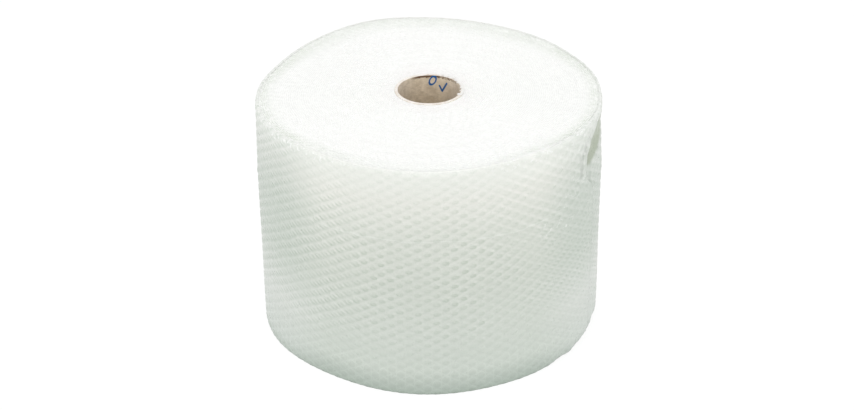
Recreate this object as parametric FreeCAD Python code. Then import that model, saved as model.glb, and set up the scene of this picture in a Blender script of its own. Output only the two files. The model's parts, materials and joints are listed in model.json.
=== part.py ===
"""A roll of small-bubble wrap standing on its end: a cardboard core with the bubble film wound round it.

Millimetres, +Z up. The origin is on the roll's axis, in the plane of the end that it stands on.
Angles run anticlockwise seen from above, from +X. The front of the roll faces -Y, so the front is at 270 degrees.
"""
import FreeCAD
import Part

import math
import os

# Cardboard core, as long as the film is wide
ROLL_WIDTH = 300.0
CORE_BORE = 76.0
CORE_WALL = 4.0

# Wound film
CORE_CLEARANCE = 0.2  # between the core and the first turn
TURN_PITCH = 2.6  # wound tight, the bubbles of one turn nest between those of the next
TURN_COUNT = 64
LOOSE_THICKNESS = 4.0  # nothing squeezes the outermost turn, so its end stands this proud
TAIL_ANGLE = 335.0  # where the outermost turn ends
BUBBLE_PITCH = 12.3  # centre to centre, along the roll's axis
BUBBLE_STAND = 1.7  # how far a column of bubbles stands out of the outermost turn

# The soft roll is out of round: how many lobes, how high they are and where the first one points
LOBES = (
    (2, 1.8, 289.0),
    (3, 3.3, 339.5),
    (4, 2.3, 11.5),
    (5, 1.7, 334.0),
)

# The edges of the turns on both ends, as one spiral groove between groups of turns
TURNS_PER_GROOVE = 12
GROOVE_WIDTH = 1.4
GROOVE_DEPTH = 1.5
CORE_TO_GROOVE = 10.0
GROOVE_TO_WALL = 5.0

# The mouth beside the tail, where the outermost turns have sprung apart
MOUTH_LENGTH = 62.0
MOUTH_WIDTH = 15.0
MOUTH_DEPTH = 7.0
TAIL_TO_MOUTH = 9.5  # degrees, to the mouth's middle
TOP_TO_MOUTH = 40.0
MOUTH_SLOPE = 42.0  # degrees that the mouth rises to the right

CORE_RADIUS = CORE_BORE / 2 + CORE_WALL
FILM_BORE_RADIUS = CORE_RADIUS + CORE_CLEARANCE
MEAN_RADIUS = CORE_RADIUS + TURN_COUNT * TURN_PITCH
COLUMN_SPACING = BUBBLE_PITCH * math.sin(math.radians(60))  # the bubbles stand in a honeycomb
COLUMN_COUNT = round(2 * math.pi * MEAN_RADIUS / COLUMN_SPACING)
UP = FreeCAD.Vector(0, 0, 1)


def polar(radius, angle, z=0.0):
    turn = math.radians(angle)
    return FreeCAD.Vector(radius * math.cos(turn), radius * math.sin(turn), z)


def line(start, end):
    return Part.LineSegment(start, end).toShape()


def lobe_height(angle):
    """How far the wall stands out of a true circle at an angle."""
    return sum(height * math.cos(math.radians(count * (angle - first))) for count, height, first in LOBES)


def outermost_turn(share, stand):
    """A point of the outermost turn in plan: share is 0 where it comes out from under its tail and 1 at the tail."""
    angle = TAIL_ANGLE - 360 * (1 - share)
    growth = LOOSE_THICKNESS * (share - 0.5)
    return polar(MEAN_RADIUS + lobe_height(angle) + growth - BUBBLE_STAND + stand, angle)


def wall_outline():
    """The film's wall in plan: one arc for each column of bubbles, and the step at the tail."""
    edges = []
    for column in range(COLUMN_COUNT):
        start = outermost_turn(column / COLUMN_COUNT, 0)
        crest = outermost_turn((column + 0.5) / COLUMN_COUNT, BUBBLE_STAND)
        end = outermost_turn((column + 1) / COLUMN_COUNT, 0)
        edges.append(Part.Arc(start, crest, end).toShape())
    edges.append(line(outermost_turn(1, 0), outermost_turn(0, 0)))
    return Part.Wire(edges)


def spiral(first_radius, pitch, turns):
    """A spiral of half circles about two centres, so that each runs smoothly into the next."""
    edges = []
    for half in range(2 * turns):
        side = -1 if half % 2 else 1
        centre = pitch / 2 if half % 2 else 0
        radius = first_radius + half * pitch / 2
        start = FreeCAD.Vector(centre + side * radius, 0, 0)
        middle = FreeCAD.Vector(centre, side * radius, 0)
        end = FreeCAD.Vector(centre - side * radius, 0, 0)
        edges.append(Part.Arc(start, middle, end).toShape())
    return edges


def turn_groove():
    """What is cut from one end between groups of turns, standing on z = 0."""
    pitch = TURNS_PER_GROOVE * TURN_PITCH
    first = CORE_RADIUS + CORE_TO_GROOVE
    nearest_wall = min(outermost_turn(column / COLUMN_COUNT, 0).Length for column in range(COLUMN_COUNT))
    turns = int((nearest_wall - GROOVE_TO_WALL - GROOVE_WIDTH - first) / pitch)
    last = first + turns * pitch
    inner_side = spiral(first, pitch, turns)
    outer_side = spiral(first + GROOVE_WIDTH, pitch, turns)
    closing = [
        line(FreeCAD.Vector(first, 0, 0), FreeCAD.Vector(first + GROOVE_WIDTH, 0, 0)),
        line(FreeCAD.Vector(last, 0, 0), FreeCAD.Vector(last + GROOVE_WIDTH, 0, 0)),
    ]
    outline = Part.Wire(Part.__sortEdges__(inner_side + outer_side + closing))
    return Part.Face(outline).extrude(UP * GROOVE_DEPTH)


def loose_mouth():
    """What is cut for the mouth: an almond that slopes up to the right, pushed into the wall."""
    left = FreeCAD.Vector(-MOUTH_LENGTH / 2, 0, 0)
    right = FreeCAD.Vector(MOUTH_LENGTH / 2, 0, 0)
    lip = Part.Arc(left, FreeCAD.Vector(0, 0, MOUTH_WIDTH / 2), right).toShape()
    sill = Part.Arc(right, FreeCAD.Vector(0, 0, -MOUTH_WIDTH / 2), left).toShape()
    almond = Part.Face(Part.Wire([lip, sill])).extrude(FreeCAD.Vector(0, -2 * MOUTH_DEPTH, 0))
    almond.translate(FreeCAD.Vector(0, MOUTH_DEPTH, 0))
    wall = outermost_turn(TAIL_TO_MOUTH / 360, BUBBLE_STAND).Length
    angle = TAIL_ANGLE + TAIL_TO_MOUTH
    almond.rotate(FreeCAD.Vector(0, 0, 0), FreeCAD.Vector(0, 1, 0), -MOUTH_SLOPE)
    almond.rotate(FreeCAD.Vector(0, 0, 0), UP, angle + 90)
    almond.translate(polar(wall, angle, ROLL_WIDTH - TOP_TO_MOUTH))
    return almond


def cardboard_core():
    return Part.makeCylinder(CORE_RADIUS, ROLL_WIDTH).cut(Part.makeCylinder(CORE_BORE / 2, ROLL_WIDTH))


def bubble_film():
    """All the turns of the film as one solid, with its columns of bubbles, its tail and its loose mouth."""
    roll = Part.Face(wall_outline()).extrude(UP * ROLL_WIDTH)
    roll = roll.cut(Part.makeCylinder(FILM_BORE_RADIUS, ROLL_WIDTH))
    lower_groove = turn_groove()
    upper_groove = lower_groove.copy()
    upper_groove.translate(UP * (ROLL_WIDTH - GROOVE_DEPTH))
    return roll.cut([lower_groove, upper_groove, loose_mouth()])


def main():
    os.makedirs("parts", exist_ok=True)
    cardboard_core().exportStep("parts/cardboard_core.step")
    bubble_film().exportStep("parts/bubble_film.step")


main()
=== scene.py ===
"""A roll of small-bubble wrap standing on its end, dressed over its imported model.

Metres, +Z up, the roll's axis on Z and the end that it stands on at z = 0. Angles run anticlockwise from +X.
The film is modelled flat, one bubble at a time, and then wound on to the roll's own outline.
"""
import json
import math

import bpy
import bmesh
import numpy as np
from mathutils import Euler, Matrix, Vector


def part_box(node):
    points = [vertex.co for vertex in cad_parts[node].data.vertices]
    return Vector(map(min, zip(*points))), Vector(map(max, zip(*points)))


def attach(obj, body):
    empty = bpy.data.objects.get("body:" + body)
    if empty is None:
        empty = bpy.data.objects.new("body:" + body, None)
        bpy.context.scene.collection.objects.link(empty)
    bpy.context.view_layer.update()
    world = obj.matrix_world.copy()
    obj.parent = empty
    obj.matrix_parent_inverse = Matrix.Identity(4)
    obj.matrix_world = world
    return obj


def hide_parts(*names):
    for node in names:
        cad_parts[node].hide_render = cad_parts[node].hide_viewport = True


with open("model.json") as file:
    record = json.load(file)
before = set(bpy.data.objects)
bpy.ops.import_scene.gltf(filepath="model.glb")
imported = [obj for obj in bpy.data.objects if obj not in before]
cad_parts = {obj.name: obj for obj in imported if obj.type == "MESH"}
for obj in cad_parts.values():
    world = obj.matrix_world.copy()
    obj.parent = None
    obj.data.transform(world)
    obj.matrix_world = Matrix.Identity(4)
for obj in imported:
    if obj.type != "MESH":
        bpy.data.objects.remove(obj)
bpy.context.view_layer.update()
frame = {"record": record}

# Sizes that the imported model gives
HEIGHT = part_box("bubble_film")[1].z
CORE_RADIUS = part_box("cardboard_core")[1].x
BORE_RADIUS = next(m for m in frame["record"]["mounts"] if m["name"] == "core_bore")["dims"]["r_mm"] / 1000

# The wound film
TURN_PITCH = 0.0026
TURN_COUNT = 64
LOOSE_THICKNESS = 0.004  # nothing squeezes the outermost turn
TAIL_ANGLE = 335.0
LOBES = (  # how many, how high and where the first one points
    (2, 0.0018, 289.0),
    (3, 0.0033, 339.5),
    (4, 0.0023, 11.5),
    (5, 0.0017, 334.0),
)
MEAN_RADIUS = CORE_RADIUS + TURN_COUNT * TURN_PITCH
TUCK_UNDER_TAIL = 0.04  # share of a turn that the outermost turn starts before its own tail
WALL_STEPS = 720  # of the outermost turn's path, in one turn
STEPS_PAST_TAIL = 50  # more of them, for the part of the tail's edge that runs on

# The bubbles, which stand in a honeycomb with their columns along the roll's axis
BUBBLE_PITCH = 0.0123  # centre to centre
COLUMN_SPACING = BUBBLE_PITCH * math.sin(math.radians(60))
DISC_RADIUS = 0.0052
DISC_SLOPE = DISC_RADIUS * 0.36  # the width of its sloping rim
DISC_STAND = 0.0004
LOWEST_ROW = -0.8 * BUBBLE_PITCH
FILM_GAUGE = 0.0006
FLOOR_TO_FILM = 0.0002

# The cut edges of the turns
EDGE_DEPTH = 0.0022
EDGE_RIPPLE = 0.0009
EDGE_GAUGE = 0.0006
EDGE_CUTS = 5  # across one bubble's length of edge
EDGE_STEPS = 90  # of the edges' path, in one turn
EDGE_WAVER = 0.0001  # how much higher or lower one turn's edge lies than the next
CORE_TO_FIRST_EDGE = 0.0007
LAST_EDGE_TO_WALL = 0.0022
LAST_EDGE_SPREAD = 0.0012  # how much nearer to the wall the last turn lies, but not under the tail

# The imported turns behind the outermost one
PACKED_SIDES = 360
PACKED_ROWS = 51
EDGE_TO_PACKED_FILM = 0.0010
PACKED_RINGS = (0.010, 0.016, 0.022)  # from the wall inwards, across each end
PACKED_TO_WALL = 0.0019
PACKED_TO_TAIL = 0.0014  # more of it, under the tail

# How the outermost turn's open edges are folded in, step by step, while it lies flat
RIM_FOLD = ((0, 0.0010, 0.0001), (0, 0.0022, 0.0003))
FOOT_FOLD = ((0, 0.0010, 0), (0, 0.0022, 0))
TAIL_FOLD = ((0, FILM_GAUGE, 0), (-EDGE_DEPTH, 0.0002, 0))

# How the soft roll has settled
RIM_ROUNDING = 0.0012  # how far the wall bends in at the rims
WAVES = (  # height, how many round the roll, where they start, length up it and where that starts
    (0.0005, 7, 40, 0.043, 1.0),
    (0.0004, 11, 130, 0.027, 0.0),
)
CREASE_HEIGHT = 0.210
CREASE_STAND = 0.0006
CREASE_HALF_WIDTH = 0.0035
FOOT_PUSH = 0.0026  # how far in the crushed corner lies
FOOT_LIFT = 0.0048  # and how far up

# The tail and the mouth beside it
TAIL_DRAWN_BACK = 0.0230  # beside the mouth
TAIL_RUN_ON = 0.0730  # from there to the top, where the tail's edge lies further round the roll
TAIL_STRETCH = (0.085, 0.006)  # the film stretches with its edge from so far before it to so far past it
TAIL_SINK = 0.0030  # how far in the top of the tail lies
TUCK_SINK = 0.0032  # how far from both rims the start that is tucked under the tail ends
TUCK_INSET = 0.0012  # how far in that start lies
STEP_BULGE = 0.0010  # how far out the film stands where it leaves the tail's step
LIP_FLARE = 0.0012  # how far out the tail stands over the mouth
MOUTH_DEPTH = 0.0070
MOUTH_SILL = 0.238
MOUTH_SILL_RISE = 0.0006  # for each degree round the roll
MOUTH_LINTEL = 0.298
MOUTH_LINTEL_FALL = 0.0012  # for each degree round the roll
HOLLOW_UNDER_TAIL = 0.0026  # how far in the turns lie behind the top of the tail
CRUMPLE_PLACE = (0.1762, -0.1113, 0.2380)  # at the mouth's lower end
GLINT_PATCH = (0.152, 0.206)  # to the right and up, the middle of the wrinkled patch

# The torn start of the film at the core
SHRED_REACH = 0.0068
SHRED_FROM = -26
SHRED_TO = 68
SHRED_COLUMNS = 96
SHRED_TEARS = 45
SHRED_TO_CORE = 0.0008
SHRED_LIFT = 0.0002
SHRED_WAVE = 0.0013
SHRED_CURL = 0.16  # how high it waves for each metre from the core
SHRED_GAUGE = 0.0003

# The core tube
CORE_SIDES = 128
CORE_BEVEL = 0.0006

# How near two points are one: when they are picked, when a sheet is merged and when copies are
SAME_PLACE = 1e-5
MERGE_DISTANCE = 0.00005
COPY_MERGE_DISTANCE = 0.00004

# The pen marks in the bore: how far round it and how far below its rim
RING_MIDDLE = (0.0042, 0.0072)
RING_REACH = (0.0038, 0.0056)
RING_LEAN = -0.45
TICK = ((0.0128, 0.0135), (0.0162, 0.0200), (0.0225, 0.0085))
PEN_HALF_WIDTH = 0.0012
INK = (0.004, 0.105, 0.345)

# Colours of the film's wall from the floor up, by share of the height: the film's own green tint with painted
# light, a painted glow that grows whiter towards the rim and painted shade at the foot; at the sides less glow
# is painted, so they are greyer
WALL_MIDDLE_LIT_TONES = (
    (0.000, (0.440, 0.510, 0.450)),
    (0.035, (0.480, 0.538, 0.486)),
    (0.110, (0.630, 0.678, 0.622)),
    (0.240, (0.652, 0.693, 0.638)),
    (0.500, (0.647, 0.682, 0.622)),
    (0.710, (0.705, 0.732, 0.672)),
    (0.870, (0.818, 0.826, 0.772)),
    (0.965, (0.872, 0.887, 0.837)),
    (0.990, (0.868, 0.883, 0.835)),
    (1.000, (0.895, 0.908, 0.868)),
)
WALL_SIDE_LIT_TONES = (
    (0.000, (0.470, 0.535, 0.480)),
    (0.060, (0.630, 0.675, 0.630)),
    (0.250, (0.702, 0.732, 0.690)),
    (0.490, (0.588, 0.638, 0.578)),
    (0.730, (0.600, 0.648, 0.590)),
    (0.900, (0.700, 0.730, 0.680)),
    (0.988, (0.795, 0.823, 0.775)),
    (1.000, (0.830, 0.855, 0.812)),
)
WALL_PLAIN = (0.80, 0.82, 0.77)  # for a viewer that can't read the finish, as the others named plain
# painted highlight along the crease
CREASE_HIGHLIGHT_COLOR = (0.86, 0.88, 0.84)
SHINE_COLOR = (0.95, 0.955, 0.94)
# painted shade in the sunken mouth
MOUTH_SHADE_COLOR = (0.47, 0.515, 0.42)

# Colours of the cut edges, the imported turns, the scraps and the cardboard
FILM_PLAIN = (0.93, 0.93, 0.92)
EDGE_COLOR = (0.990, 0.990, 0.984)
# painted shade on the edges near the wall
EDGE_SHADE_BY_WALL = (0.80, 0.835, 0.775)
EDGE_BY_CORE = (0.955, 0.930, 0.930)
# painted glints: the specks and the sparks
EDGE_GLINT_SPECK = (0.965, 0.968, 0.955)
EDGE_SPARK = (0.985, 0.985, 0.975)
PACKED_COLOR = (0.93, 0.94, 0.92)
# painted shade of the packed turns in the mouth
PACKED_MOUTH_SHADE = (0.50, 0.55, 0.46)
SCRAP_DARK = (0.80, 0.78, 0.75)
SCRAP_LIGHT = (0.96, 0.955, 0.94)
CARD_PLAIN = (0.66, 0.57, 0.44)
CARD_DARK = (0.61, 0.510, 0.375)
CARD_LIGHT = (0.80, 0.695, 0.545)
# painted shade on the bore's sides
CARD_ASIDE_SHADE = (0.89, 0.90, 0.95)
CARD_SEAM = (0.38, 0.29, 0.20)
# a dark ragged band under the rear of the bore's rim
CARD_RIM_DARK = (0.125, 0.066, 0.034)
CARD_END_DARK = (0.80, 0.735, 0.66)
CARD_END_LIGHT = (0.93, 0.89, 0.85)
CARD_END_WORN = (0.42, 0.30, 0.19)
SEAM_LEAD = 0.078  # from one line of the spiral seam up to the next
SEAM_SLOPE = 0.55
PLY_PITCH = 0.0009

# Camera, as worked out from the roll's outline in the 854 by 410 photograph
FRAME_WIDTH_PX = 854
FRAME_HEIGHT_PX = 410
SENSOR_WIDTH = 36.0
FOCAL_PX = 2007.6
CAMERA_DISTANCE = 2.49
CAMERA_RISE = 29.41
CAMERA_ROLL = -0.46
ROLL_MIDDLE_PX = (430.2, 197.5)
VIEW_FAR_END = 30

# Light
WORLD_LIGHT = 0.74
LAMPS = (  # name, place, height on the axis that it faces, width, power
    ("lamp_above", (0, -0.2, 2.6), HEIGHT, 2.4, 18),
    ("lamp_left", (-2.3, -0.3, 0.7), HEIGHT / 2, 1.6, 8),
    ("lamp_right", (2.3, -0.3, 0.7), HEIGHT / 2, 1.6, 8),
    ("lamp_front", (0.0, -3.2, 0.9), HEIGHT / 2, 1.6, 17),
)
FLOOR_SIZE = 12
FLOOR_COLOR = (0.72, 0.74, 0.72)
FLOOR_GLOW = 1.08
FLOOR_WHITENESS = 0.85  # of what the camera sees, the rest being the floor with its shadow


def deselect():
    if bpy.context.object and bpy.context.object.mode != "OBJECT":
        bpy.ops.object.mode_set(mode="OBJECT")
    bpy.ops.object.select_all(action="DESELECT")


def take_up(piece):
    """Selects one piece alone and makes it the active one."""
    deselect()
    piece.select_set(True)
    bpy.context.view_layer.objects.active = piece


def begin_editing(piece):
    take_up(piece)
    bpy.ops.object.mode_set(mode="EDIT")


def pick(piece, wanted, kind="VERT"):
    """In edit mode, selects the vertices, edges or faces that wanted(element) accepts."""
    bpy.context.tool_settings.mesh_select_mode = (kind == "VERT", kind == "EDGE", kind == "FACE")
    mesh = bmesh.from_edit_mesh(piece.data)
    mesh.normal_update()
    for group in (mesh.verts, mesh.edges, mesh.faces):
        for element in group:
            element.select_set(False)
    chosen = {"VERT": mesh.verts, "EDGE": mesh.edges, "FACE": mesh.faces}[kind]
    for element in chosen:
        if wanted(element):
            element.select_set(True)
    mesh.select_flush_mode()
    bmesh.update_edit_mesh(piece.data)


def name_new(name):
    piece = bpy.context.object
    piece.name = name
    piece.data.name = name
    return piece


def apply_modifier(piece, kind, **settings):
    take_up(piece)
    modifier = piece.modifiers.new(kind.title(), kind)
    for setting, value in settings.items():
        setattr(modifier, setting, value)
    bpy.ops.object.modifier_apply(modifier=modifier.name)


def repeat(piece, count, step):
    """Copies a piece in a row and merges the points where the copies meet."""
    apply_modifier(
        piece, "ARRAY", count=count, use_relative_offset=False, use_constant_offset=True,
        constant_offset_displace=step, use_merge_vertices=True, merge_threshold=COPY_MERGE_DISTANCE,
    )


def settle_place(piece):
    """Puts a finished piece's place into its mesh, so that its object is at the origin."""
    take_up(piece)
    bpy.ops.object.transform_apply(location=True, rotation=True, scale=True)


def smooth(piece, angle=180):
    take_up(piece)
    bpy.ops.object.shade_smooth_by_angle(angle=math.radians(angle), keep_sharp_edges=True)


def lobe_height(angle):
    return sum(height * np.cos(np.radians(count * (angle - first))) for count, height, first in LOBES)


def wall_radius(angle):
    """The roll's mean outline, without the growth of the outermost turn."""
    return MEAN_RADIUS + lobe_height(angle)


def outermost_turn(share):
    """Angle and radius of the outermost turn's web: share is 1 at the tail and 0 one turn before it."""
    angle = TAIL_ANGLE - 360 * (1 - share)
    return angle, wall_radius(angle) + LOOSE_THICKNESS * (share - 0.5) - DISC_STAND


def inner_turn(turns):
    """Angle and radius of the film after so many turns, growing from the round core to the roll's outline."""
    angle = TAIL_ANGLE + 360 * turns
    share = turns / TURN_COUNT
    last = max(turns - TURN_COUNT + 1, 0)
    spread = LAST_EDGE_SPREAD * last * (1 - float(soft_step(0.80, 0.93, last)))
    room = wall_radius(angle) - CORE_RADIUS - CORE_TO_FIRST_EDGE - LAST_EDGE_TO_WALL
    return angle, CORE_RADIUS + CORE_TO_FIRST_EDGE + room * share + spread


def winding(name, places):
    """A flat path through places given as angle and radius, and how far along it each but the first is."""
    path = bpy.data.curves.new(name, "CURVE")
    path.dimensions = "2D"
    spline = path.splines.new("POLY")
    spline.points.add(len(places) - 1)
    turns, radii = np.radians([angle for angle, _ in places]), np.array([radius for _, radius in places])
    plan = np.column_stack([radii * np.cos(turns), radii * np.sin(turns)])
    for point, (x, y) in zip(spline.points, plan):
        point.co = (x, y, 0, 1)
    path_object = bpy.data.objects.new(name, path)
    bpy.context.scene.collection.objects.link(path_object)
    return path_object, np.cumsum(np.hypot(*np.diff(plan, axis=0).T))


def wind(piece, path):
    """Bends a flat piece that lies along X on to a path, its height staying upright."""
    apply_modifier(piece, "CURVE", object=path, deform_axis="POS_X")
    bpy.data.objects.remove(path)


def points_of(piece):
    places = np.empty(len(piece.data.vertices) * 3, np.float32)
    piece.data.vertices.foreach_get("co", places)
    return places.reshape(-1, 3).astype(float)


def move_points(piece, places):
    piece.data.vertices.foreach_set("co", places.astype(np.float32).ravel())
    piece.data.update()


def note(piece, name, values):
    """Writes one number for each point of a piece, which its material reads."""
    layer = piece.data.attributes.get(name) or piece.data.attributes.new(name, "FLOAT", "POINT")
    layer.data.foreach_set("value", np.asarray(values, np.float32).ravel())


def noted(piece, name):
    values = np.empty(len(piece.data.vertices), np.float32)
    piece.data.attributes[name].data.foreach_get("value", values)
    return values.astype(float)


def soft_step(low, high, value):
    t = np.clip((value - low) / (high - low), 0, 1)
    return t * t * (3 - 2 * t)


def hump(centre, half_width, value):
    """1 at the centre, falling smoothly to 0 half a width away on each side."""
    return 1 - soft_step(0, half_width, np.abs(value - centre))


def mouth_at(angle, z):
    """1 in the mouth beside the tail and 0 outside it: it narrows to the right, where its sill slopes up."""
    sill = MOUTH_SILL + MOUTH_SILL_RISE * (angle - 332)
    lintel = MOUTH_LINTEL - MOUTH_LINTEL_FALL * np.maximum(angle - 341, 0)
    upright = soft_step(sill, sill + 0.010, z) * (1 - soft_step(lintel - 0.015, lintel, z))
    return upright * soft_step(325, 331, angle) * (1 - soft_step(345, 359.9, angle))


def tail_edge(z):
    """How much further round the roll the tail's edge is at a height."""
    run_on = TAIL_RUN_ON * np.clip((z - 0.260) / 0.040, 0, 1) ** 2
    return run_on - TAIL_DRAWN_BACK * soft_step(0.210, 0.242, z)


def foot_at(angle):
    """1 where the lower corner on the right has been crushed most, and 0 elsewhere, with its small folds."""
    onward = np.where(angle < 90, angle + 360, angle)
    folds = 1 + 0.22 * np.sin(np.radians(onward * 23)) + 0.12 * np.sin(np.radians(onward * 41))
    return soft_step(300, 334, onward) * (1 - soft_step(343, 356, onward)) * folds


def waves_at(angle, z):
    """How far the wall stands out in its low waves."""
    return sum(
        height * np.sin(np.radians(angle * count + first)) * np.sin(z / length + start)
        for height, count, first, length, start in WAVES
    )


def inner_push(angle, z, mouth, near_wall):
    """How far out the turns behind the outermost one move: they give way in the mouth and at the tail."""
    before_tail = ((angle - TAIL_ANGLE) % 360) / 360
    hollow = hump(0.925, 0.05, before_tail) * soft_step(0.262, 0.285, z) * near_wall
    return -MOUTH_DEPTH * mouth - HOLLOW_UNDER_TAIL * hollow


def outer_push(share, z, mouth):
    """How far out the outermost turn moves past the tail's step, in the mouth, at its lip and at the tail."""
    past_step = (1 - soft_step(0.06, 0.16, share)) * (1 - soft_step(0.215, 0.240, z))
    at_lip = soft_step(0.955, 1.0, share) * soft_step(0.232, 0.255, z) * (1 - soft_step(0.260, 0.282, z))
    high_tail = soft_step(0.85, 0.97, share) * soft_step(0.270, 0.290, z)
    push = STEP_BULGE * past_step - MOUTH_DEPTH * mouth + LIP_FLARE * at_lip
    return push - TAIL_SINK * high_tail - TUCK_INSET * (share < 0)


def outer_lift(share, y, z):
    """How far the outermost turn is lifted: its fold lies flat but in front, and its tucked start is sunk."""
    flattened = np.maximum(z - HEIGHT, 0) * (soft_step(-0.19, -0.12, y) + 0.6 * soft_step(-0.05, 0.05, y))
    sunk = TUCK_SINK * soft_step(-0.008, -0.032, share)
    return sunk * (soft_step(0.030, 0.0, z) - soft_step(HEIGHT - 0.030, HEIGHT, z)) - flattened


def let_settle(piece, share=None):
    """Moves the soft film's points as the roll has settled; share is given for the outermost turn alone."""
    places = points_of(piece)
    x, y, z = places.T
    angle = np.degrees(np.arctan2(y, x)) % 360
    radius = np.hypot(x, y)
    depth = wall_radius(angle) - radius
    near_wall = 1 - soft_step(0.008, 0.045, depth)
    at_rim = 1 - soft_step(0.0, 0.009, depth)
    foot = foot_at(angle) * near_wall

    push = -RIM_ROUNDING * (soft_step(HEIGHT - 0.005, HEIGHT, z) + soft_step(0.006, 0.0, z)) * at_rim
    push += waves_at(angle, z) * near_wall
    crease = hump(CREASE_HEIGHT, CREASE_HALF_WIDTH, z + 0.0015 * np.sin(np.radians(angle * 5)))
    push += CREASE_STAND * crease * near_wall
    push -= FOOT_PUSH * foot * np.clip(1 - z / 0.028, 0, 1) ** 2
    lift = FOOT_LIFT * foot * np.clip(1 - z / 0.040, 0, 1) ** 2
    lift -= 0.4 * RIM_ROUNDING * soft_step(HEIGHT - 0.002, HEIGHT, z) * at_rim

    if share is None:
        mouth = mouth_at(angle, z) * near_wall
        push += inner_push(angle, z, mouth, near_wall)
    else:
        mouth = mouth_at(angle, z) * (share < 0.5)
        push += outer_push(share, z, mouth)
        lift += outer_lift(share, y, z)
        lip_height = soft_step(0.234, 0.246, z) * (1 - soft_step(0.28, 0.295, z))
        note(piece, "lip", soft_step(0.976, 0.986, share) * lip_height)
    note(piece, "mouth", mouth)

    new_radius = radius + push
    places[:, 0] = new_radius * np.cos(np.radians(angle))
    places[:, 1] = new_radius * np.sin(np.radians(angle))
    places[:, 2] = z + lift
    move_points(piece, places)


def bubble_cell(name, middle_x, middle_z):
    """One bubble of flat film, facing -Y: a six-sided piece of web with a low round disc in it."""
    facing = (math.radians(90), 0, 0)
    place = (middle_x, 0, middle_z)
    deselect()
    bpy.ops.mesh.primitive_circle_add(
        vertices=12, radius=DISC_RADIUS, fill_type="NGON", location=place, rotation=facing
    )
    cell = name_new(name)
    settle_place(cell)
    begin_editing(cell)
    bpy.ops.mesh.select_all(action="SELECT")
    bpy.ops.mesh.inset(thickness=DISC_SLOPE)
    bpy.ops.transform.translate(value=(0, -DISC_STAND, 0))
    bpy.ops.mesh.select_all(action="DESELECT")
    bpy.ops.mesh.primitive_circle_add(
        vertices=6, radius=BUBBLE_PITCH / math.sqrt(3), fill_type="NOTHING", location=place,
        rotation=(math.radians(90), math.radians(30), 0),
    )
    bpy.ops.mesh.subdivide(number_cuts=1)
    pick(cell, lambda edge: edge.is_boundary or edge.is_wire, "EDGE")
    bpy.ops.mesh.bridge_edge_loops()
    pick(cell, lambda face: face.normal.y > 0, "FACE")
    bpy.ops.mesh.flip_normals()
    bpy.ops.object.mode_set(mode="OBJECT")
    map_bubble(cell, middle_x, middle_z)
    return cell


def map_bubble(cell, middle_x, middle_z):
    """Gives each corner of a bubble's faces its place on the bubble, in pitches from a square's corner."""
    while cell.data.uv_layers:
        cell.data.uv_layers.remove(cell.data.uv_layers[0])
    layer = cell.data.uv_layers.new(name="bubble")
    point = np.empty(len(cell.data.loops), np.int32)
    cell.data.loops.foreach_get("vertex_index", point)
    places = points_of(cell)[point]
    across = (places[:, 0] - middle_x) / BUBBLE_PITCH + 0.5
    upright = (places[:, 2] - middle_z) / BUBBLE_PITCH + 0.5
    layer.data.foreach_set("uv", np.column_stack([across, upright]).astype(np.float32).ravel())


def cut_at(piece, place, normal):
    """Cuts a piece along a plane and drops what lies on the side that the normal points to."""
    begin_editing(piece)
    bpy.ops.mesh.select_all(action="SELECT")
    bpy.ops.mesh.bisect(plane_co=place, plane_no=normal, clear_outer=True)
    bpy.ops.object.mode_set(mode="OBJECT")


def fold_in_edge(piece, on_edge, steps):
    """Gives an open edge of the film its thickness, by extruding it step by step."""
    begin_editing(piece)
    pick(piece, lambda edge: edge.is_boundary and all(on_edge(v.co) for v in edge.verts), "EDGE")
    for step in steps:
        bpy.ops.mesh.extrude_edges_move(TRANSFORM_OT_translate={"value": step})
    bpy.ops.object.mode_set(mode="OBJECT")


def film_outer_turn():
    """The outermost turn: two columns of bubbles, repeated into a flat sheet, cut to width and wound on."""
    steps = round(WALL_STEPS * (1 + TUCK_UNDER_TAIL))
    shares = [step / WALL_STEPS - TUCK_UNDER_TAIL for step in range(steps + STEPS_PAST_TAIL)]
    path, lengths = winding("outer_turn_path", [outermost_turn(share) for share in shares])
    length = float(lengths[steps - 1])
    columns = math.ceil(length / COLUMN_SPACING / 2)
    rows = math.ceil(HEIGHT / BUBBLE_PITCH) + 2

    sheet = bubble_cell("film_outer_turn", 0, LOWEST_ROW)
    neighbour = bubble_cell("film_second_column", COLUMN_SPACING, LOWEST_ROW + BUBBLE_PITCH / 2)
    take_up(sheet)
    neighbour.select_set(True)
    bpy.ops.object.join()
    repeat(sheet, rows, (0, 0, BUBBLE_PITCH))
    repeat(sheet, columns + 1, (COLUMN_SPACING * 2, 0, 0))
    begin_editing(sheet)
    bpy.ops.mesh.select_all(action="SELECT")
    bpy.ops.mesh.remove_doubles(threshold=MERGE_DISTANCE)
    bpy.ops.object.mode_set(mode="OBJECT")

    cut_at(sheet, (0, 0, FLOOR_TO_FILM), (0, 0, -1))
    cut_at(sheet, (0, 0, HEIGHT), (0, 0, 1))
    cut_at(sheet, (length, 0, 0), (1, 0, 0))
    fold_in_edge(sheet, lambda co: co.z > HEIGHT - SAME_PLACE, RIM_FOLD)
    fold_in_edge(sheet, lambda co: co.z < FLOOR_TO_FILM + SAME_PLACE, FOOT_FOLD)
    fold_in_edge(sheet, lambda co: co.x > length - SAME_PLACE, TAIL_FOLD)

    places = points_of(sheet)
    share = places[:, 0] / length * (1 + TUCK_UNDER_TAIL) - TUCK_UNDER_TAIL
    note(sheet, "share", share)
    note(sheet, "to_tail", length - places[:, 0])
    near_tail = soft_step(length - TAIL_STRETCH[0], length + TAIL_STRETCH[1], places[:, 0])
    places[:, 0] += near_tail * tail_edge(places[:, 2])
    note(sheet, "along", places[:, 0])
    move_points(sheet, places)
    wind(sheet, path)
    let_settle(sheet, noted(sheet, "share"))
    smooth(sheet)
    return sheet


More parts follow.
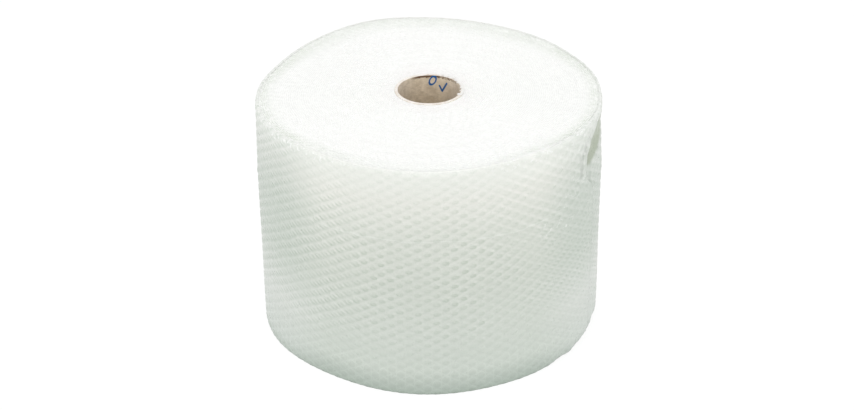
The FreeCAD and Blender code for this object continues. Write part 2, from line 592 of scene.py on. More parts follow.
def edge_ripple(name):
    """One bubble's length of cut film edge, open below: it bows out over the bubble and back to the web."""
    deselect()
    bpy.ops.mesh.primitive_cube_add(size=1, location=(COLUMN_SPACING / 2, 0, -EDGE_DEPTH / 2),
                                    scale=(COLUMN_SPACING, EDGE_GAUGE, EDGE_DEPTH))
    strip = name_new(name)
    settle_place(strip)
    begin_editing(strip)
    pick(strip, lambda face: abs(face.normal.x) > 0.9 or face.normal.z < -0.9, "FACE")
    bpy.ops.mesh.delete(type="FACE")
    pick(strip, lambda edge: abs(edge.verts[0].co.x - edge.verts[1].co.x) > COLUMN_SPACING / 2, "EDGE")
    bpy.ops.mesh.subdivide(number_cuts=EDGE_CUTS)
    for step in range(1, EDGE_CUTS + 1):
        along = COLUMN_SPACING * step / (EDGE_CUTS + 1)
        pick(strip, lambda point: abs(point.co.x - along) < SAME_PLACE)
        bow = EDGE_RIPPLE * math.sin(math.pi * step / (EDGE_CUTS + 1)) ** 2
        bpy.ops.transform.translate(value=(0, -bow, 0))
    bpy.ops.object.mode_set(mode="OBJECT")
    return strip


def film_edges(name, top):
    """The cut edges of all the inner turns at one end, as one long rippled strip wound out from the core."""
    steps = TURN_COUNT * EDGE_STEPS
    turns = [TURN_COUNT * step / steps for step in range(steps + 1)]
    path, lengths = winding(name + "_path", [inner_turn(turn) for turn in turns])
    strip = edge_ripple(name)
    repeat(strip, math.floor(lengths[-1] / COLUMN_SPACING), (COLUMN_SPACING, 0, 0))
    far_end = points_of(strip)[:, 0].max()
    for end in (0, far_end):
        begin_editing(strip)
        pick(strip, lambda edge: edge.is_boundary
             and all(abs(v.co.x - end) < SAME_PLACE for v in edge.verts), "EDGE")
        bpy.ops.mesh.edge_face_add()
    bpy.ops.object.mode_set(mode="OBJECT")
    wind(strip, path)
    places = points_of(strip)
    angle = np.degrees(np.arctan2(places[:, 1], places[:, 0])) % 360
    radius = np.hypot(places[:, 0], places[:, 1])
    turn = np.floor((radius - CORE_RADIUS) / (wall_radius(angle) - CORE_RADIUS) * TURN_COUNT)
    places[:, 2] += EDGE_WAVER * (np.sin(turn * 2.4) + np.sin(turn * 0.9 + np.radians(angle) * 3))
    places[:, 2] -= places[:, 2].max()
    places[:, 2] = places[:, 2] + HEIGHT if top else -places[:, 2]
    move_points(strip, places)
    note(strip, "inset", wall_radius(angle) - radius)
    if not top:
        begin_editing(strip)
        bpy.ops.mesh.select_all(action="SELECT")
        bpy.ops.mesh.flip_normals()
        bpy.ops.object.mode_set(mode="OBJECT")
    let_settle(strip)
    smooth(strip, 50)
    return strip


def film_inner_turns():
    """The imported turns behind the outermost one, seen between the cut edges and in the loose mouth."""
    deselect()
    bpy.ops.mesh.primitive_cylinder_add(
        vertices=PACKED_SIDES, radius=MEAN_RADIUS, depth=HEIGHT - 2 * EDGE_TO_PACKED_FILM,
        end_fill_type="NGON", location=(0, 0, HEIGHT / 2),
    )
    body = name_new("film_inner_turns")
    settle_place(body)
    begin_editing(body)
    pick(body, lambda face: abs(face.normal.z) > 0.9, "FACE")
    for width in PACKED_RINGS:
        bpy.ops.mesh.inset(thickness=width)
    bpy.ops.mesh.inset(thickness=MEAN_RADIUS - CORE_RADIUS - sum(PACKED_RINGS) - FLOOR_TO_FILM)
    bpy.ops.mesh.bridge_edge_loops()
    pick(body, lambda edge: abs(edge.verts[0].co.z - edge.verts[1].co.z) > HEIGHT / 2, "EDGE")
    bpy.ops.mesh.subdivide(number_cuts=PACKED_ROWS - 1)
    bpy.ops.object.mode_set(mode="OBJECT")
    places = points_of(body)
    angle = np.degrees(np.arctan2(places[:, 1], places[:, 0])) % 360
    radius = np.hypot(places[:, 0], places[:, 1])
    share = ((angle - TAIL_ANGLE) % 360) / 360
    under_tail = soft_step(0.925, 0.958, share)
    behind = LOOSE_THICKNESS * (share * (1 - under_tail) - 0.5) - PACKED_TO_WALL - PACKED_TO_TAIL * under_tail
    outwards = (radius - CORE_RADIUS) / (MEAN_RADIUS - CORE_RADIUS)
    stretch = 1 + (wall_radius(angle) + behind - MEAN_RADIUS) / radius * outwards
    places[:, 0] *= stretch
    places[:, 1] *= stretch
    move_points(body, places)
    let_settle(body)
    smooth(body, 50)
    return body


def film_core_shreds():
    """The ragged start of the film, lapping over the core's cut end on the right."""
    angles = np.linspace(SHRED_FROM, SHRED_TO, SHRED_TO - SHRED_FROM + 1)
    path, lengths = winding("shred_path", [(angle, CORE_RADIUS + SHRED_TO_CORE) for angle in angles])
    length = float(lengths[-1])
    deselect()
    bpy.ops.mesh.primitive_grid_add(x_subdivisions=SHRED_COLUMNS, y_subdivisions=3, size=1)
    shreds = name_new("film_core_shreds")
    shreds.scale = (length, SHRED_REACH, 1)
    shreds.location = (length / 2, SHRED_REACH / 2, 0)
    settle_place(shreds)
    places = points_of(shreds)
    tears = np.random.default_rng(5).uniform(0.25, 1.0, SHRED_TEARS)
    torn = np.interp(places[:, 0] / length * (SHRED_TEARS - 1), np.arange(SHRED_TEARS), tears)
    places[:, 1] *= torn
    places[:, 2] = HEIGHT + SHRED_LIFT + SHRED_CURL * places[:, 1] * np.sin(places[:, 0] / SHRED_WAVE)
    move_points(shreds, places)
    wind(shreds, path)
    apply_modifier(shreds, "SOLIDIFY", thickness=SHRED_GAUGE, offset=1)
    smooth(shreds, 60)
    return shreds


def core_tube():
    """The cardboard core: a tube whose cut ends are a little worn."""
    deselect()
    bpy.ops.mesh.primitive_cylinder_add(
        vertices=CORE_SIDES, radius=CORE_RADIUS, depth=HEIGHT,
        end_fill_type="NOTHING", location=(0, 0, HEIGHT / 2),
    )
    tube = name_new("core_tube")
    settle_place(tube)
    apply_modifier(tube, "SOLIDIFY", thickness=CORE_RADIUS - BORE_RADIUS, offset=-1)
    begin_editing(tube)
    pick(tube, lambda edge: abs(edge.verts[0].co.z - edge.verts[1].co.z) < SAME_PLACE
         and abs(edge.verts[0].co.xy.length - edge.verts[1].co.xy.length) < SAME_PLACE, "EDGE")
    bpy.ops.mesh.bevel(offset=CORE_BEVEL, segments=2, affect="EDGES")
    bpy.ops.mesh.select_all(action="SELECT")
    bpy.ops.mesh.normals_make_consistent(inside=False)
    bpy.ops.object.mode_set(mode="OBJECT")
    places = points_of(tube)
    angle = np.degrees(np.arctan2(places[:, 1], places[:, 0]))
    note(tube, "bore_arc", BORE_RADIUS * np.radians((90 - angle + 180) % 360 - 180))
    smooth(tube, 40)
    return tube


def new_material(name, base_color, roughness):
    material = bpy.data.materials.new(name)
    material.use_nodes = True
    surface = material.node_tree.nodes["Principled BSDF"]
    surface.inputs["Base Color"].default_value = (*base_color, 1)
    surface.inputs["Roughness"].default_value = roughness
    return material, surface


def node(material, kind, **settings):
    made = material.node_tree.nodes.new(kind)
    for setting, value in settings.items():
        setattr(made, setting, value)
    return made


def feed(material, socket, value):
    """Links another node's output to a socket, or writes a plain number or colour into it."""
    if isinstance(value, bpy.types.NodeSocket):
        material.node_tree.links.new(value, socket)
    else:
        socket.default_value = value


def maths(material, operation, *values):
    made = node(material, "ShaderNodeMath", operation=operation)
    for socket, value in zip(made.inputs, values):
        feed(material, socket, value)
    return made.outputs[0]


def vectors(material, operation, *values):
    made = node(material, "ShaderNodeVectorMath", operation=operation)
    for socket, value in zip(made.inputs, values):
        feed(material, socket, value)
    return made.outputs["Value" if operation in ("LENGTH", "DOT_PRODUCT") else "Vector"]


def step(material, value, low, high, start=0.0, end=1.0):
    """Runs smoothly from start to end while the value runs from low to high."""
    made = node(material, "ShaderNodeMapRange", interpolation_type="SMOOTHSTEP")
    inputs = {"Value": value, "From Min": low, "From Max": high, "To Min": start, "To Max": end}
    for name, number in inputs.items():
        feed(material, made.inputs[name], number)
    return made.outputs["Result"]


def product(material, *values):
    total = values[0]
    for value in values[1:]:
        total = maths(material, "MULTIPLY", total, value)
    return total


def total(material, *values):
    made = values[0]
    for value in values[1:]:
        made = maths(material, "ADD", made, value)
    return made


def blend(material, factor, first, second):
    """A colour that runs from the first to the second with a factor from 0 to 1."""
    made = node(material, "ShaderNodeMix", data_type="RGBA")
    feed(material, made.inputs[0], factor)
    feed(material, made.inputs[6], (*first, 1) if isinstance(first, tuple) else first)
    feed(material, made.inputs[7], (*second, 1) if isinstance(second, tuple) else second)
    return made.outputs[2]


def deepen(material, color, by):
    """A colour made lighter or darker by a factor."""
    made = node(material, "ShaderNodeVectorMath", operation="SCALE")
    feed(material, made.inputs[0], color)
    feed(material, made.inputs["Scale"], by)
    return made.outputs["Vector"]


def color_along(material, value, stops):
    made = node(material, "ShaderNodeValToRGB")
    feed(material, made.inputs["Fac"], value)
    made.color_ramp.interpolation = "LINEAR"
    elements = made.color_ramp.elements
    while len(elements) < len(stops):
        elements.new(0.5)
    for element, (position, color) in zip(elements, stops):
        element.position = position
        element.color = (*color, 1)
    return made.outputs["Color"]


def object_place(material):
    return node(material, "ShaderNodeTexCoord").outputs["Object"]


def apart(material, vector):
    made = node(material, "ShaderNodeSeparateXYZ")
    feed(material, made.inputs[0], vector)
    return made.outputs


def together(material, *values):
    made = node(material, "ShaderNodeCombineXYZ")
    for socket, value in zip(made.inputs, values):
        feed(material, socket, value)
    return made.outputs[0]


def reading(material, name):
    return node(material, "ShaderNodeAttribute", attribute_name=name).outputs["Fac"]


def noise(material, place, grain, detail=2.0, roughness=0.5, output=0):
    """Noise whose blotches are about one grain across, as a value near 0.5 or as a colour."""
    made = node(material, "ShaderNodeTexNoise")
    feed(material, made.inputs["Vector"], place)
    made.inputs["Scale"].default_value = 1 / grain
    made.inputs["Detail"].default_value = detail
    made.inputs["Roughness"].default_value = roughness
    return made.outputs[output]


def emboss(material, surface, height, distance, strength=1.0):
    made = node(material, "ShaderNodeBump")
    made.inputs["Strength"].default_value = strength
    made.inputs["Distance"].default_value = distance
    feed(material, made.inputs["Height"], height)
    feed(material, surface.inputs["Normal"], made.outputs["Normal"])


def row_phase(material, along, z, lean):
    """How far into a diagonal row of bubbles a place is, in radians: 0 along the middles of the bubbles.

    Lean is 1 for the rows that rise to the right and -1 for those that fall.
    """
    across = maths(material, "MULTIPLY", along, math.pi / COLUMN_SPACING)
    from_lowest = maths(material, "SUBTRACT", z, LOWEST_ROW)
    up = maths(material, "MULTIPLY", from_lowest, -lean * 2 * math.pi / BUBBLE_PITCH)
    return maths(material, "ADD", across, up)


def wall_zones(material, x, z):
    """Where on the wall a place is, each from 0 to 1: the light brings out other rows in each zone."""
    left = step(material, x, -0.13, -0.05, 1, 0)
    high = step(material, z, 0.150, 0.220)
    upper_right = product(material, high, step(material, x, 0.045, 0.105))
    right = maths(material, "MAXIMUM", step(material, x, 0.09, 0.165), upper_right)
    high_right = product(material, high, right)
    return {
        "high": high,
        "right": right,
        "sides": maths(material, "MAXIMUM", left, right),
        "high_right": high_right,
        "low_right": maths(material, "SUBTRACT", right, high_right),
    }


def rows_at(material, place, z):
    """How far into a rising and a falling row of packed bubbles a place is. The rows wander a little."""
    along = reading(material, "along")
    crinkle = noise(material, place, 0.0050, 2, 0.6, 1)
    drift = noise(material, place, 0.030, 1, 0.5, 1)
    shift = vectors(material, "MULTIPLY_ADD", crinkle, (1.4, 1.4, 0), (-2.0, -2.0, 0))
    shift = vectors(material, "MULTIPLY_ADD", drift, (2.6, 2.6, 0), shift)
    shift_up, shift_down, _ = apart(material, shift)
    rising = total(material, row_phase(material, along, z, 1), shift_up)
    falling = total(material, row_phase(material, along, z, -1), shift_down)
    return rising, falling


def net_strength(material, place, x, z, zones):
    """How strongly the net shows: unevenly, and weaker at the foot and towards the rim in front."""
    blotch = noise(material, place, 0.045, 1)
    each = noise(material, place, 0.011, 1)
    uneven = product(
        material, step(material, blotch, 0.35, 0.65, 0.75, 1.2), step(material, each, 0.3, 0.7, 0.7, 1.3)
    )
    from_middle = maths(material, "ABSOLUTE", x)
    fade = step(material, z, 0.215, 0.290, 1.0, 0.35)
    fade = maths(material, "MAXIMUM", fade, step(material, from_middle, 0.10, 0.18, 0, 0.9))
    fade_right = product(material, zones["high_right"], step(material, z, 0.255, 0.290, 0.85, 0.5))
    fade = maths(material, "MAXIMUM", fade, fade_right)
    strength = product(material, fade, step(material, z, 0.03, 0.13, 0.30, 1.0), uneven)
    return product(material, strength, maths(material, "MULTIPLY_ADD", zones["low_right"], -0.22, 1.0))


def net_of_bubbles(material, place, x, z):
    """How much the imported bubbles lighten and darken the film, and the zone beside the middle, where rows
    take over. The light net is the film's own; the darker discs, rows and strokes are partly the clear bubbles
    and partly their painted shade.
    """
    zones = wall_zones(material, x, z)
    sides = zones["sides"]
    right = zones["right"]
    high_right = zones["high_right"]
    rising, falling = rows_at(material, place, z)
    rising_rows = maths(material, "COSINE", rising)
    rising_sharp = maths(material, "COSINE", maths(material, "MULTIPLY_ADD", rising, 2.0, 1.2))
    falling_rows = maths(material, "COSINE", falling)
    stroke_lean = maths(material, "MULTIPLY", x, 6.5)
    strokes = maths(material, "COSINE", maths(material, "MULTIPLY_ADD", falling, 2.0, stroke_lean))
    past_row = maths(material, "COSINE", total(material, rising, 0.9))
    between_rows = maths(material, "MULTIPLY_ADD", past_row, 0.5, 0.5)

    disc = step(material, maths(material, "ADD", rising_rows, falling_rows), 0.2, 1.3, 0.035, -0.075)
    disc_share = maths(
        material, "MAXIMUM",
        maths(material, "SUBTRACT", 1.0, sides), maths(material, "MULTIPLY", high_right, 0.6),
    )
    disc_part = product(material, disc, disc_share, step(material, x, 0.03, 0.10, 1.0, 0.65))

    on_right = maths(material, "MULTIPLY_ADD", zones["high"], 0.018, -0.034)
    rising_part = product(material, step(material, right, 0, 1, -0.052, on_right), rising_rows)
    rising_part = product(material, rising_part, maths(material, "MULTIPLY_ADD", sides, 0.65, 0.35))
    sharp_part = product(material, step(material, right, 0, 1, 0.020, 0.004), rising_sharp)

    falling_low = product(material, zones["low_right"], step(material, x, 0.145, 0.180, 0.028, 0))
    falling_part = product(material, falling_rows, sides, total(material, falling_low, -0.032))
    stroke_part = product(
        material, step(material, sides, 0, 1, 0.030, 0.105), strokes, between_rows,
        maths(material, "MULTIPLY_ADD", high_right, -0.62, 1.0),
    )
    bubble_net_and_shade = total(material, disc_part, rising_part, sharp_part, falling_part, stroke_part)
    return maths(material, "MULTIPLY", bubble_net_and_shade, net_strength(material, place, x, z, zones)), sides


def wall_lit_tone(material, x, z):
    """The film's tint with painted light: a painted glow that grows whiter towards the rim, painted shade at
    the foot, and greyer at the sides, where less glow is painted.
    """
    share = maths(material, "DIVIDE", z, HEIGHT)
    middle = color_along(material, share, WALL_MIDDLE_LIT_TONES)
    side = color_along(material, share, WALL_SIDE_LIT_TONES)
    tone = blend(material, step(material, maths(material, "ABSOLUTE", x), 0.115, 0.180), middle, side)
    return deepen(material, tone, 0.965)


def crease_highlight(material, place, y, z):
    """1 along the painted highlight on the crease across the front, which wanders up and down a little."""
    wander = step(material, noise(material, place, 0.030, 1), 0.3, 0.7, -0.0016, 0.0016)
    from_crease = maths(material, "ABSOLUTE", total(material, z, wander, -CREASE_HEIGHT))
    crease = step(material, from_crease, 0.0003, 0.0011, 0.30, 0)
    return product(material, crease, step(material, y, -0.175, -0.135, 1, 0))


def wall_shine(material, place, sides):
    """Where the film glints: on wrinkles at the right, on a crumple at the mouth and by the rim."""
    x, y, z = apart(material, place)
    off_patch = [
        maths(material, "ABSOLUTE", maths(material, "SUBTRACT", value, middle))
        for value, middle in ((x, GLINT_PATCH[0]), (z, GLINT_PATCH[1]))
    ]
    wrinkle = maths(material, "ABSOLUTE", total(material, noise(material, place, 0.016, 2, 0.6), -0.5))
    glint = product(
        material,
        step(material, wrinkle, 0.003, 0.015, 1, 0),
        step(material, noise(material, place, 0.0050, 1), 0.44, 0.54),
        step(material, off_patch[0], 0.014, 0.030, 1, 0),
        step(material, off_patch[1], 0.015, 0.034, 1, 0),
        step(material, y, -0.10, -0.08, 1, 0),
    )
    # painted highlight on the crumple at the mouth's lower end
    from_crumple = vectors(material, "LENGTH", vectors(material, "SUBTRACT", place, CRUMPLE_PLACE))
    crumple = product(
        material, step(material, from_crumple, 0.003, 0.009, 1, 0),
        step(material, noise(material, place, 0.0030, 2), 0.44, 0.54),
    )
    spark = product(
        material, step(material, noise(material, place, 0.0034, 0), 0.66, 0.72, 0, 0.8),
        step(material, z, HEIGHT - 0.016, HEIGHT - 0.005), sides,
    )
    faint = maths(material, "MULTIPLY", maths(material, "MAXIMUM", glint, crumple), 0.55)
    return maths(material, "MAXIMUM", faint, spark)


def film_wall_finish():
    """Clear film over packed bubbles: a light net round darker discs, with the bubbles' shade painted in, and
    clearer and whiter towards the rim, where a glow is painted.
    """
    material, surface = new_material("bubble_film_wall", WALL_PLAIN, 0.35)
    place = object_place(material)
    x, y, z = apart(material, place)
    bubble = node(material, "ShaderNodeUVMap", uv_map="bubble").outputs["UV"]
    on_bubble = vectors(material, "MULTIPLY", vectors(material, "SUBTRACT", bubble, (0.5, 0.5, 0)), (1, 1, 0))
    reach = vectors(material, "LENGTH", on_bubble)

    bubble_net_and_shade, sides = net_of_bubbles(material, place, x, z)
    ring = step(material, maths(material, "ABSOLUTE", total(material, reach, -0.44)), 0.02, 0.09, 1, 0)
    light = total(
        material,
        product(material, step(material, z, 0.025, 0.060, 1, 0), ring, 0.06),
        step(material, noise(material, place, 0.0022, 2), 0.3, 0.7, -0.015, 0.015),
    )
    bubble_net_and_shade = together(material, bubble_net_and_shade, bubble_net_and_shade, bubble_net_and_shade)
    # the net's tone with the bubbles' painted shade, greener where it is darker
    net_tone_and_shade = vectors(material, "MULTIPLY_ADD", bubble_net_and_shade, (1.10, 0.88, 1.10), (1, 1, 1))
    net_tone_and_shade = vectors(material, "ADD", net_tone_and_shade, together(material, light, light, light))
    # the wall's tint with its painted glow towards the rim and painted shade at the foot and sides
    color = vectors(material, "MULTIPLY", wall_lit_tone(material, x, z), net_tone_and_shade)
    # painted highlight along the crease
    color = blend(material, crease_highlight(material, place, y, z), color, CREASE_HIGHLIGHT_COLOR)
    color = blend(material, wall_shine(material, place, sides), color, SHINE_COLOR)

    lip = reading(material, "lip")
    # painted shade in the fold beside the tail and on the lip's pleats, which also lighten a little
    pleat = noise(material, vectors(material, "MULTIPLY", place, (1.0, 1.0, 0.10)), 0.0032, 2)
    from_fold = maths(material, "ABSOLUTE", total(material, reading(material, "to_tail"), -0.0135))
    fold = step(material, from_fold, 0.0015, 0.0050, 1, 0)
    lip_fold_shade = maths(material, "MULTIPLY_ADD", fold, -0.10, step(material, pleat, 0.36, 0.60, -0.10, 0.04))
    color = deepen(material, color, maths(material, "MULTIPLY_ADD", lip, lip_fold_shade, 1.0))
    # painted shade in the sunken mouth beside the tail
    color = blend(material, step(material, reading(material, "mouth"), 0.10, 0.40), color, MOUTH_SHADE_COLOR)
    feed(material, surface.inputs["Base Color"], color)

    dome = maths(material, "SUBTRACT", 1, product(material, reach, reach, 4.0))
    relief = total(
        material,
        product(material, maths(material, "MAXIMUM", dome, 0.0), 0.30),
        product(material, lip, pleat, 1.1),
        product(material, noise(material, place, 0.0030, 2), 0.14),
    )
    emboss(material, surface, relief, 0.0008, 0.5)
    gloss = noise(material, place, 0.0060, 2)
    feed(material, surface.inputs["Roughness"], step(material, gloss, 0.3, 0.7, 0.27, 0.44))
    return material


def film_edge_finish():
    """Cut film edges, nearly white: greyer near the wall, where shade is painted, with painted glints as
    specks there, and warmer by the core.
    """
    material, surface = new_material("bubble_film_edges", FILM_PLAIN, 0.5)
    place = object_place(material)
    x, y, _ = apart(material, place)
    inset = reading(material, "inset")
    grain = noise(material, place, 0.0021, 2, 0.6)
    cloud = noise(material, place, 0.016, 2)
    aside = maths(material, "ABSOLUTE", x)

    # painted shade on the edges near the wall, weaker in front and stronger at the sides
    from_wall = maths(material, "MULTIPLY", inset, step(material, y, 0.02, 0.15, 1.0, 0.5))
    by_fold = maths(
        material, "MAXIMUM",
        step(material, inset, 0.0032, 0.0080, 0.25, 1.0), step(material, y, -0.02, 0.04, 0, 0.4),
    )
    shade_by_wall = product(
        material,
        step(material, from_wall, 0.003, 0.026, 1, 0),
        step(material, cloud, 0.3, 0.65, 1.15, 0.75),
        step(material, y, -0.20, -0.11, 0.30, 1.0),
        step(material, y, 0.04, 0.17, 1.0, 0.58),
        step(material, aside, 0.12, 0.19, 1.0, 1.45),
        by_fold,
    )
    by_core = step(material, inset, MEAN_RADIUS - CORE_RADIUS - 0.035, MEAN_RADIUS - CORE_RADIUS, 0, 1)
    # painted glints: bright specks and sparks near the wall
    glint_speck = product(material, step(material, grain, 0.57, 0.64), step(material, inset, 0.010, 0.045, 0.9, 0))
    spark = product(
        material,
        step(material, noise(material, place, 0.0055, 1), 0.58, 0.64),
        step(material, inset, 0.018, 0.030, 0.95, 0),
        step(material, aside, 0.10, 0.15),
    )
    color = blend(material, shade_by_wall, EDGE_COLOR, EDGE_SHADE_BY_WALL)
    color = blend(material, maths(material, "MULTIPLY", by_core, 0.6), color, EDGE_BY_CORE)
    color = blend(material, glint_speck, color, EDGE_GLINT_SPECK)
    color = blend(material, spark, color, EDGE_SPARK)
    tone = step(material, grain, 0.3, 0.7, 0.990, 1.008)
    feed(material, surface.inputs["Base Color"], deepen(material, color, tone))
    emboss(material, surface, grain, 0.0004, 0.35)
    feed(material, surface.inputs["Roughness"], step(material, cloud, 0.3, 0.7, 0.38, 0.55))
    return material


def film_body_finish():
    """Packed turns of film seen past the outer ones, with painted shade where they lie in the mouth."""
    material, surface = new_material("bubble_film_packed", PACKED_COLOR, 0.6)
    place = object_place(material)
    in_mouth = step(material, reading(material, "mouth"), 0.10, 0.40)
    mottle = noise(material, place, 0.005, 3)
    color = blend(material, in_mouth, PACKED_COLOR, PACKED_MOUTH_SHADE)
    color = deepen(material, color, step(material, mottle, 0.3, 0.7, 0.95, 1.02))
    feed(material, surface.inputs["Base Color"], color)
    emboss(material, surface, mottle, 0.0008, 0.6)
    feed(material, surface.inputs["Roughness"], step(material, mottle, 0.3, 0.7, 0.5, 0.7))
    return material


def shred_finish():
    """Thin torn scraps of film."""
    material, surface = new_material("bubble_film_scraps", FILM_PLAIN, 0.35)
    place = object_place(material)
    grain = noise(material, place, 0.0016, 2)
    feed(material, surface.inputs["Base Color"], blend(material, grain, SCRAP_DARK, SCRAP_LIGHT))
    emboss(material, surface, grain, 0.0004, 0.6)
    feed(material, surface.inputs["Roughness"], step(material, grain, 0.3, 0.7, 0.28, 0.45))
    return material


def pen_stroke(material, place, start, end, half_width):
    """1 on a straight pen stroke between two places, given in the plane of the unrolled bore."""
    run = (end[0] - start[0], end[1] - start[1], 0)
    from_start = vectors(material, "SUBTRACT", place, (*start, 0))
    length_squared = run[0] ** 2 + run[1] ** 2
    reach = maths(material, "DIVIDE", vectors(material, "DOT_PRODUCT", from_start, run), length_squared)
    reach = maths(material, "MINIMUM", maths(material, "MAXIMUM", reach, 0.0), 1.0)
    foot = deepen(material, run, reach)
    off = vectors(material, "LENGTH", vectors(material, "SUBTRACT", from_start, foot))
    return step(material, off, half_width * 0.8, half_width * 1.2, 1, 0)


def pen_marks(material, unrolled, arc, z):
    """1 on the ring and the tick that a pen has drawn in the bore, at the back."""
    ring_up = maths(material, "DIVIDE", total(material, z, RING_MIDDLE[1] - HEIGHT), RING_REACH[1])
    from_middle = maths(material, "DIVIDE", total(material, arc, -RING_MIDDLE[0]), RING_REACH[0])
    ring_along = maths(material, "MULTIPLY_ADD", ring_up, RING_LEAN, from_middle)
    reach = vectors(material, "LENGTH", together(material, ring_along, ring_up, 0.0))
    ring = step(material, maths(material, "ABSOLUTE", total(material, reach, -1.0)), 0.20, 0.31, 1, 0)
    corners = [(along, HEIGHT - down) for along, down in TICK]
    strokes = [
        pen_stroke(material, unrolled, start, end, PEN_HALF_WIDTH) for start, end in zip(corners, corners[1:])
    ]
    return maths(material, "MAXIMUM", ring, maths(material, "MAXIMUM", *strokes))


def dark_rim_band(material, place, arc, z):
    """1 on a dark ragged band just under the rear of the bore's rim, broken into specks on its right."""
    from_top = maths(material, "SUBTRACT", HEIGHT, z)
    ragged = maths(material, "MULTIPLY_ADD", noise(material, place, 0.0022, 3, 0.7), -0.0062, from_top)
    specks = step(material, noise(material, place, 0.0034, 1), 0.46, 0.52)
    return product(
        material,
        step(material, ragged, -0.0006, 0.0004, 1, 0),
        step(material, arc, -0.028, -0.013),
        maths(material, "MAXIMUM", step(material, arc, 0.010, 0.018, 1, 0.4), specks),
        step(material, arc, 0.036, 0.042, 1, 0),
    )


def cardboard_end(material, place, mottle):
    """The pale tone of the core's cut ends, with its plies and worn brown specks."""
    across_wall = vectors(material, "LENGTH", vectors(material, "MULTIPLY", place, (1, 1, 0)))
    ply = maths(material, "SINE", maths(material, "MULTIPLY", across_wall, 2 * math.pi / PLY_PITCH))
    tone = blend(material, step(material, mottle, 0.35, 0.65), CARD_END_DARK, CARD_END_LIGHT)
    tone = deepen(material, tone, maths(material, "MULTIPLY_ADD", ply, 0.03, 1.0))
    worn = step(material, noise(material, place, 0.0030, 3, 0.7), 0.62, 0.68, 0, 0.75)
    return blend(material, worn, tone, CARD_END_WORN), across_wall


def cardboard_finish():
    """Grey-brown cardboard with a spiral seam, pale cut ends, a dark ragged band under the rear of the bore's
    rim, painted shade on the bore's sides and two pen marks.
    """
    material, surface = new_material("core_cardboard", CARD_PLAIN, 0.85)
    place = object_place(material)
    _, y, z = apart(material, place)
    arc = reading(material, "bore_arc")
    unrolled = together(material, arc, z, 0.0)

    mottle = noise(material, place, 0.009, 4, 0.65)
    fibre = noise(material, vectors(material, "MULTIPLY", unrolled, (0.35, 1.6, 1.0)), 0.0022, 3, 0.6)
    color = blend(material, step(material, mottle, 0.30, 0.70), CARD_DARK, CARD_LIGHT)
    color = deepen(material, color, step(material, fibre, 0.3, 0.7, 0.93, 1.06))
    # painted shade: darker and cooler on the bore's sides
    aside = step(material, maths(material, "ABSOLUTE", arc), 0.012, 0.040)
    color = blend(material, aside, color, vectors(material, "MULTIPLY", color, CARD_ASIDE_SHADE))
    up_seam = maths(material, "DIVIDE", maths(material, "MULTIPLY_ADD", arc, SEAM_SLOPE, z), SEAM_LEAD)
    off_seam = maths(material, "ABSOLUTE", total(material, maths(material, "FRACT", up_seam), -0.5))
    color = blend(material, step(material, off_seam, 0.004, 0.012, 0.10, 0), color, CARD_SEAM)
    # a dark ragged band under the rear of the bore's rim
    torn = dark_rim_band(material, place, arc, z)
    color = blend(material, maths(material, "MULTIPLY", torn, 0.95), color, CARD_RIM_DARK)

    ink = product(
        material, pen_marks(material, unrolled, arc, z), step(material, y, 0.0, 0.004),
        step(material, fibre, 0.25, 0.45, 0.75, 1.0),
    )
    color = blend(material, maths(material, "MULTIPLY", ink, 0.97), color, INK)

    end_tone, across_wall = cardboard_end(material, place, mottle)
    off_middle = maths(material, "ABSOLUTE", total(material, z, -HEIGHT / 2))
    outside = step(material, across_wall, CORE_RADIUS - 0.0012, CORE_RADIUS - 0.0006)
    cut_end = maths(
        material, "MAXIMUM", step(material, off_middle, HEIGHT / 2 - 0.0005, HEIGHT / 2 - 0.0001),
        product(material, outside, step(material, off_middle, HEIGHT / 2 - 0.0022, HEIGHT / 2 - 0.0014)),
    )
    color = blend(material, cut_end, color, end_tone)
    feed(material, surface.inputs["Base Color"], color)
    emboss(material, surface, total(material, mottle, fibre), 0.0003, 0.7)
    feed(material, surface.inputs["Roughness"], step(material, fibre, 0.3, 0.7, 0.78, 0.92))
    return material


def dress(piece, material, slot, *nodes):
    piece.data.materials.clear()
    piece.data.materials.append(material)
    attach(piece, "root")
    if nodes:
        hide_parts(*nodes)


def set_camera():
    rise = math.radians(CAMERA_RISE)
    data = bpy.data.cameras.new("camera")
    camera = bpy.data.objects.new("camera", data)
    bpy.context.scene.collection.objects.link(camera)
    data.sensor_width = SENSOR_WIDTH
    data.lens = FOCAL_PX / FRAME_WIDTH_PX * SENSOR_WIDTH
    data.shift_x = (FRAME_WIDTH_PX / 2 - ROLL_MIDDLE_PX[0]) / FRAME_WIDTH_PX
    data.shift_y = (ROLL_MIDDLE_PX[1] - FRAME_HEIGHT_PX / 2) / FRAME_WIDTH_PX
    data.clip_end = VIEW_FAR_END
    camera.location = (0, -CAMERA_DISTANCE * math.cos(rise), HEIGHT / 2 + CAMERA_DISTANCE * math.sin(rise))
    tilt = Euler((math.radians(90) - rise, 0, 0)).to_matrix()
    camera.rotation_euler = (tilt @ Matrix.Rotation(math.radians(CAMERA_ROLL), 3, "Z")).to_euler()
    bpy.context.scene.camera = camera


def soft_box(name, place, faced_height, width, power):
    """A square lamp that faces a point on the roll's axis."""
    deselect()
    bpy.ops.object.light_add(type="AREA", location=place)
    lamp = bpy.context.object
    lamp.name = name
    lamp.data.size = width
    lamp.data.energy = power
    towards = Vector((0, 0, faced_height)) - Vector(place)
    lamp.rotation_euler = towards.to_track_quat("-Z", "Y").to_euler()


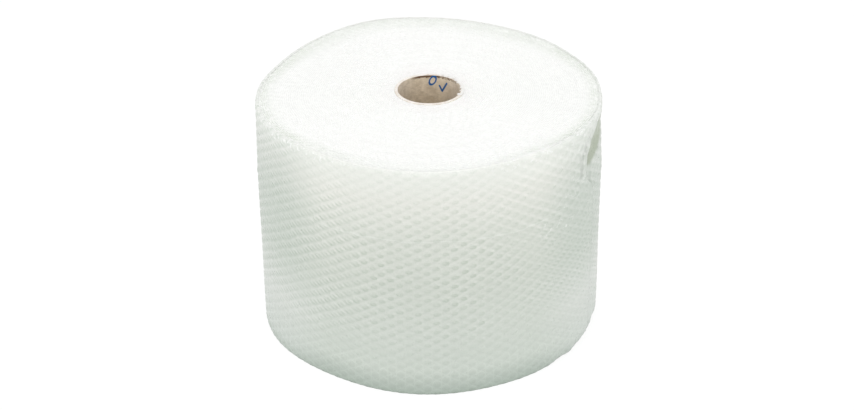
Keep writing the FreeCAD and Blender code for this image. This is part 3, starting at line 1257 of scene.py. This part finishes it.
def set_floor():
    """A pale floor that the camera sees nearly white, with the roll's shadow on it."""
    deselect()
    bpy.ops.mesh.primitive_plane_add(size=FLOOR_SIZE, location=(0, 0, 0))
    floor = name_new("floor")
    material, surface = new_material("floor_pale", FLOOR_COLOR, 0.9)
    path = node(material, "ShaderNodeLightPath")
    seen = maths(material, "MAXIMUM", path.outputs["Is Camera Ray"], path.outputs["Is Glossy Ray"])
    white = node(material, "ShaderNodeEmission")
    white.inputs["Color"].default_value = (1, 1, 1, 1)
    white.inputs["Strength"].default_value = FLOOR_GLOW
    mix = node(material, "ShaderNodeMixShader")
    feed(material, mix.inputs["Fac"], maths(material, "MULTIPLY", seen, FLOOR_WHITENESS))
    feed(material, mix.inputs[1], surface.outputs["BSDF"])
    feed(material, mix.inputs[2], white.outputs["Emission"])
    feed(material, material.node_tree.nodes["Material Output"].inputs["Surface"], mix.outputs["Shader"])
    floor.data.materials.append(material)


def set_light():
    """An even white surround, which the camera sees at full white, and four soft lamps."""
    world = bpy.data.worlds.new("studio")
    bpy.context.scene.world = world
    world.use_nodes = True
    background = world.node_tree.nodes["Background"]
    background.inputs["Color"].default_value = (1, 1, 1, 1)
    path = world.node_tree.nodes.new("ShaderNodeLightPath")
    behind = world.node_tree.nodes.new("ShaderNodeMath")
    behind.operation = "MULTIPLY_ADD"
    behind.inputs[1].default_value = 1.0 - WORLD_LIGHT
    behind.inputs[2].default_value = WORLD_LIGHT
    world.node_tree.links.new(path.outputs["Is Camera Ray"], behind.inputs[0])
    world.node_tree.links.new(behind.outputs["Value"], background.inputs["Strength"])
    for lamp in LAMPS:
        soft_box(*lamp)
    bpy.context.scene.view_settings.view_transform = "Standard"


def main():
    outer = film_outer_turn()
    upper = film_edges("film_edges_upper", True)
    lower = film_edges("film_edges_lower", False)
    inner = film_inner_turns()
    shreds = film_core_shreds()
    tube = core_tube()
    edges = film_edge_finish()
    dress(outer, film_wall_finish(), "film", "bubble_film")
    dress(upper, edges, "film", "bubble_film")
    dress(lower, edges, "film", "bubble_film")
    dress(inner, film_body_finish(), "film", "bubble_film")
    dress(shreds, shred_finish(), "film", "bubble_film")
    dress(tube, cardboard_finish(), "core", "cardboard_core")
    set_camera()
    set_floor()
    set_light()
    for piece in (outer, upper, lower, inner, shreds, tube):
        triangles = sum(len(face.vertices) - 2 for face in piece.data.polygons)
        print(piece.name, "triangles", triangles)


main()
